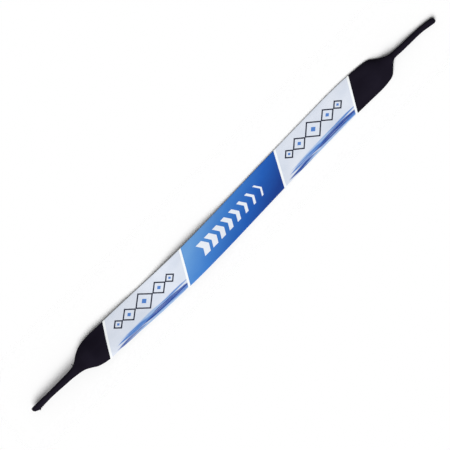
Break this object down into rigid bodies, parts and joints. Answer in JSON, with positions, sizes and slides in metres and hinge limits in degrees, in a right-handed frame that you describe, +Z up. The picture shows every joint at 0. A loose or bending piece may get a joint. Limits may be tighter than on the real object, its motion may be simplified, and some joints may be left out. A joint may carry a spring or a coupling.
{
  "type": "eyewear retainer strap",
  "caption": "Flat printed neoprene eyewear retainer; the laminated band rolls up at both ends into slim sewn sleeves that stretch over the temples of glasses.",
  "frame": {"origin": "middle of the strap on the surface it lies on, under the lining", "axes": "+X along the strap to the right sleeve, +Y across the band, +Z up out of the printed face"},
  "size_m": [0.406, 0.0297, 0.0066],
  "materials": {
    "face_black": "matte printed jersey",
    "face_pale": "matte printed jersey",
    "face_blue": "matte printed jersey",
    "foam": "matte closed-cell foam",
    "lining": "matte jersey",
    "thread": "satin polyester thread"
  },
  "bodies": {
    "center_band": {"center_lining": "lining", "center_foam": "foam", "center_face": "face_blue", "left_bend_lining": "lining", "left_bend_foam": "foam", "left_bend_face": "face_blue", "right_bend_lining": "lining", "right_bend_foam": "foam", "right_bend_face": "face_blue"},
    "left_band": {"left_band_lining": "lining", "left_band_foam": "foam", "left_band_face": "face_pale", "left_shoulder_lining": "lining", "left_shoulder_foam": "foam", "left_shoulder_face": "face_black"},
    "right_band": {"right_band_lining": "lining", "right_band_foam": "foam", "right_band_face": "face_pale", "right_shoulder_lining": "lining", "right_shoulder_foam": "foam", "right_shoulder_face": "face_black"},
    "left_sleeve": {"left_sleeve_lining": "lining", "left_sleeve_foam": "foam", "left_sleeve_face": "face_black", "left_needle_thread": "thread", "left_looper_thread": "thread"},
    "right_sleeve": {"right_sleeve_lining": "lining", "right_sleeve_foam": "foam", "right_sleeve_face": "face_black", "right_needle_thread": "thread", "right_looper_thread": "thread"}
  },
  "joints": [
    {"name": "left_band_bend", "type": "hinge", "parent": "center_band", "child": "left_band", "pos_m": [-0.048, -0.00255, 0.0007], "axis": [-0.0138, 0.9999, 0], "range_deg": [-75, 75], "stiffness_Nm_per_rad": 0.0002, "deforming": ["left_bend_lining", "left_bend_foam", "left_bend_face"]},
    {"name": "right_band_bend", "type": "hinge", "parent": "center_band", "child": "right_band", "pos_m": [0.048, 0.00085, 0.0007], "axis": [0.0297, -0.9996, 0], "range_deg": [-75, 75], "stiffness_Nm_per_rad": 0.0002, "deforming": ["right_bend_lining", "right_bend_foam", "right_bend_face"]},
    {"name": "left_sleeve_bend", "type": "hinge", "parent": "left_band", "child": "left_sleeve", "pos_m": [-0.15, -0.00133, 0.0025], "axis": [0.0061, 1, 0], "range_deg": [-75, 75], "stiffness_Nm_per_rad": 0.0002, "deforming": ["left_shoulder_lining", "left_shoulder_foam", "left_shoulder_face"]},
    {"name": "right_sleeve_bend", "type": "hinge", "parent": "right_band", "child": "right_sleeve", "pos_m": [0.15, 0.00235, 0.0025], "axis": [-0.0052, -1, 0], "range_deg": [-75, 75], "stiffness_Nm_per_rad": 0.0002, "deforming": ["right_shoulder_lining", "right_shoulder_foam", "right_shoulder_face"]}
  ]
}
